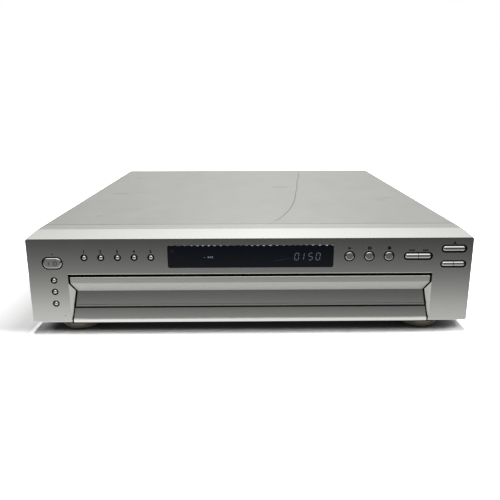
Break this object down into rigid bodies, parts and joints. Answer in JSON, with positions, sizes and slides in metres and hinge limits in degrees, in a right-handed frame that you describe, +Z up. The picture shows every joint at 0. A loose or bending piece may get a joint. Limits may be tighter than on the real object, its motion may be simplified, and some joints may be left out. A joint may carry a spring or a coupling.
{
  "type": "disc changer",
  "caption": "Silver component-width disc player with a carousel drawer under a dark display, round and bar keys on its face, and a working loading mechanism inside.",
  "frame": {"origin": "on the table under the middle of the whole machine, keys and jacks included", "axes": "+X to the right seen from the front, +Y from front to back, +Z up"},
  "size_m": [0.43, 0.411, 0.0985],
  "materials": {
    "silver_front": "silver metallic paint on moulded plastic",
    "silver_keys": "bright silver metallic paint",
    "cover_paint": "satin silver paint on folded steel",
    "zinc_steel": "zinc plated sheet",
    "rear_paint": "satin dark paint on sheet steel",
    "foot_ring": "warm silver plated plastic",
    "foot_pad": "matt",
    "screw_steel": "zinc plated",
    "smoked_window": "polished smoked acrylic",
    "display_glass": "sealed glass",
    "clear_lamp": "clear moulded",
    "receiver_black": "moulded",
    "circuit_board": "solder mask",
    "switch_plastic": "moulded",
    "deck_plastic": "moulded black plastic",
    "carousel_plastic": "moulded dark grey plastic",
    "gear_plastic": "natural acetal",
    "pulley_brass": "turned",
    "belt_rubber": "matt",
    "motor_steel": "plated can",
    "pickup_plastic": "glass filled plastic",
    "pickup_metal": "die cast",
    "jack_metal": "nickel plated",
    "transformer_tape": "wound and taped",
    "component_mix": "sleeved"
  },
  "bodies": {
    "cabinet": {"chassis_base": "zinc_steel", "rear_panel": "rear_paint", "top_cover": "cover_paint", "front_panel": "silver_front", "lower_fascia": "silver_front", "display_window": "smoked_window", "standby_lamp": "clear_lamp", "feet": "foot_ring", "foot_pads": "foot_pad", "cover_screws": "screw_steel", "control_board": "circuit_board", "key_switches": "switch_plastic", "display_tube": "display_glass", "remote_receiver": "receiver_black", "main_board": "circuit_board", "rear_jacks": "jack_metal", "mains_inlet": "deck_plastic", "power_board": "circuit_board", "transformer": "transformer_tape", "power_components": "component_mix", "deck_frame": "deck_plastic", "chuck_bridge": "zinc_steel", "loading_motor": "motor_steel", "loading_belt": "belt_rubber"},
    "drawer": {"tray": "deck_plastic", "tray_door": "silver_front", "table_motor": "motor_steel", "table_belt": "belt_rubber"},
    "turntable": {"carousel": "carousel_plastic", "carousel_cap": "carousel_plastic"},
    "table_gear": {"table_pulley_gear": "gear_plastic"},
    "table_motor_drive": {"table_motor_pulley": "pulley_brass"},
    "rack_gear": {"drive_gear": "gear_plastic"},
    "loader_gear": {"pulley_gear": "gear_plastic"},
    "loader_motor_drive": {"loading_pulley": "pulley_brass"},
    "lift": {"lift_slide": "gear_plastic"},
    "pickup_unit": {"pickup_holder": "pickup_plastic", "guide_rods": "motor_steel", "pickup_motors": "motor_steel"},
    "spindle": {"disc_table": "belt_rubber"},
    "sled": {"optical_pickup": "pickup_metal"},
    "sled_drive": {"sled_gear": "gear_plastic"},
    "chuck": {"chuck_puck": "gear_plastic"},
    "power_button": {"power_button": "silver_keys"},
    "disc_1_button": {"disc_1_button": "silver_keys"},
    "disc_2_button": {"disc_2_button": "silver_keys"},
    "disc_3_button": {"disc_3_button": "silver_keys"},
    "disc_4_button": {"disc_4_button": "silver_keys"},
    "disc_5_button": {"disc_5_button": "silver_keys"},
    "picture_mode_button": {"picture_mode_button": "silver_keys"},
    "surround_button": {"surround_button": "silver_keys"},
    "display_button": {"display_button": "silver_keys"},
    "play_button": {"play_button": "silver_keys"},
    "pause_button": {"pause_button": "silver_keys"},
    "stop_button": {"stop_button": "silver_keys"},
    "previous_button": {"previous_button": "silver_keys"},
    "next_button": {"next_button": "silver_keys"},
    "open_close_button": {"open_close_button": "silver_keys"},
    "exchange_button": {"exchange_button": "silver_keys"},
    "disc_skip_button": {"disc_skip_button": "silver_keys"}
  },
  "joints": [
    {"name": "power_press", "type": "slide", "parent": "cabinet", "child": "power_button", "axis": [0, 1, 0], "range_m": [0, 0.0008], "stiffness_N_per_m": 300, "springref_m": -0.001},
    {"name": "disc_1_press", "type": "slide", "parent": "cabinet", "child": "disc_1_button", "axis": [0, 1, 0], "range_m": [0, 0.0008], "stiffness_N_per_m": 300, "springref_m": -0.001},
    {"name": "disc_2_press", "type": "slide", "parent": "cabinet", "child": "disc_2_button", "axis": [0, 1, 0], "range_m": [0, 0.0008], "stiffness_N_per_m": 300, "springref_m": -0.001},
    {"name": "disc_3_press", "type": "slide", "parent": "cabinet", "child": "disc_3_button", "axis": [0, 1, 0], "range_m": [0, 0.0008], "stiffness_N_per_m": 300, "springref_m": -0.001},
    {"name": "disc_4_press", "type": "slide", "parent": "cabinet", "child": "disc_4_button", "axis": [0, 1, 0], "range_m": [0, 0.0008], "stiffness_N_per_m": 300, "springref_m": -0.001},
    {"name": "disc_5_press", "type": "slide", "parent": "cabinet", "child": "disc_5_button", "axis": [0, 1, 0], "range_m": [0, 0.0008], "stiffness_N_per_m": 300, "springref_m": -0.001},
    {"name": "picture_mode_press", "type": "slide", "parent": "cabinet", "child": "picture_mode_button", "axis": [0, 1, 0], "range_m": [0, 0.0008], "stiffness_N_per_m": 300, "springref_m": -0.001},
    {"name": "surround_press", "type": "slide", "parent": "cabinet", "child": "surround_button", "axis": [0, 1, 0], "range_m": [0, 0.0008], "stiffness_N_per_m": 300, "springref_m": -0.001},
    {"name": "display_press", "type": "slide", "parent": "cabinet", "child": "display_button", "axis": [0, 1, 0], "range_m": [0, 0.0008], "stiffness_N_per_m": 300, "springref_m": -0.001},
    {"name": "play_press", "type": "slide", "parent": "cabinet", "child": "play_button", "axis": [0, 1, 0], "range_m": [0, 0.0008], "stiffness_N_per_m": 300, "springref_m": -0.001},
    {"name": "pause_press", "type": "slide", "parent": "cabinet", "child": "pause_button", "axis": [0, 1, 0], "range_m": [0, 0.0008], "stiffness_N_per_m": 300, "springref_m": -0.001},
    {"name": "stop_press", "type": "slide", "parent": "cabinet", "child": "stop_button", "axis": [0, 1, 0], "range_m": [0, 0.0008], "stiffness_N_per_m": 300, "springref_m": -0.001},
    {"name": "previous_press", "type": "slide", "parent": "cabinet", "child": "previous_button", "axis": [0, 1, 0], "range_m": [0, 0.0008], "stiffness_N_per_m": 300, "springref_m": -0.001},
    {"name": "next_press", "type": "slide", "parent": "cabinet", "child": "next_button", "axis": [0, 1, 0], "range_m": [0, 0.0008], "stiffness_N_per_m": 300, "springref_m": -0.001},
    {"name": "open_close_press", "type": "slide", "parent": "cabinet", "child": "open_close_button", "axis": [0, 1, 0], "range_m": [0, 0.0008], "stiffness_N_per_m": 300, "springref_m": -0.001},
    {"name": "exchange_press", "type": "slide", "parent": "cabinet", "child": "exchange_button", "axis": [0, 1, 0], "range_m": [0, 0.0008], "stiffness_N_per_m": 300, "springref_m": -0.001},
    {"name": "disc_skip_press", "type": "slide", "parent": "cabinet", "child": "disc_skip_button", "axis": [0, 1, 0], "range_m": [0, 0.0008], "stiffness_N_per_m": 300, "springref_m": -0.001},
    {"name": "tray_slide", "type": "slide", "parent": "cabinet", "child": "drawer", "axis": [0, -1, 0], "range_m": [0, 0.195]},
    {"name": "carousel_turn", "type": "hinge", "parent": "drawer", "child": "turntable", "pos_m": [0, -0.0232, 0.029], "axis": [0, 0, 1], "continuous": true},
    {"name": "table_gear_turn", "type": "hinge", "parent": "drawer", "child": "table_gear", "pos_m": [0.05657, -0.07977, 0.033], "axis": [0, 0, 1], "continuous": true},
    {"name": "table_motor_turn", "type": "hinge", "parent": "drawer", "child": "table_motor_drive", "pos_m": [0.143, -0.1667, 0.037], "axis": [0, 0, 1], "continuous": true},
    {"name": "rack_gear_turn", "type": "hinge", "parent": "cabinet", "child": "rack_gear", "pos_m": [-0.1845, -0.1297, 0.018], "axis": [0, 0, 1], "range_deg": [-750, 5]},
    {"name": "loader_gear_turn", "type": "hinge", "parent": "cabinet", "child": "loader_gear", "pos_m": [-0.19801, -0.10748, 0.018], "axis": [0, 0, 1], "range_deg": [-10, 2500]},
    {"name": "loader_motor_turn", "type": "hinge", "parent": "cabinet", "child": "loader_motor_drive", "pos_m": [-0.19801, -0.0547, 0.022], "axis": [0, 0, 1], "range_deg": [-20, 6900]},
    {"name": "pickup_lift", "type": "hinge", "parent": "cabinet", "child": "pickup_unit", "pos_m": [0, 0.153, 0.023], "axis": [-1, 0, 0], "range_deg": [0, 7.93]},
    {"name": "lift_slide_move", "type": "slide", "parent": "cabinet", "child": "lift", "axis": [1, 0, 0], "range_m": [-0.0001, 0.0282]},
    {"name": "disc_spin", "type": "hinge", "parent": "pickup_unit", "child": "spindle", "pos_m": [0, 0.07788, 0.03677], "axis": [0, -0.138, 0.9904], "continuous": true},
    {"name": "sled_move", "type": "slide", "parent": "pickup_unit", "child": "sled", "axis": [0, 0.9904, 0.138], "range_m": [0, 0.035]},
    {"name": "sled_gear_turn", "type": "hinge", "parent": "pickup_unit", "child": "sled_drive", "pos_m": [0.0348, 0.10515, 0.02946], "axis": [0, -0.138, 0.9904], "range_deg": [-336, 3]},
    {"name": "chuck_spin", "type": "hinge", "parent": "cabinet", "child": "chuck", "pos_m": [0, 0.0805, 0.054], "axis": [0, 0, 1], "continuous": true}
  ],
  "couplings": [
    {"joint": "rack_gear_turn", "follows": "tray_slide", "rad_per_m": -66.667},
    {"joint": "loader_gear_turn", "follows": "tray_slide", "rad_per_m": 222.22},
    {"joint": "loader_motor_turn", "follows": "tray_slide", "rad_per_m": 611.11},
    {"joint": "table_gear_turn", "follows": "carousel_turn", "ratio": -7},
    {"joint": "table_motor_turn", "follows": "carousel_turn", "ratio": -19.25},
    {"joint": "lift_slide_move", "follows": "pickup_lift", "m_per_rad": 0.20231},
    {"joint": "sled_gear_turn", "follows": "sled_move", "rad_per_m": -166.67}
  ]
}
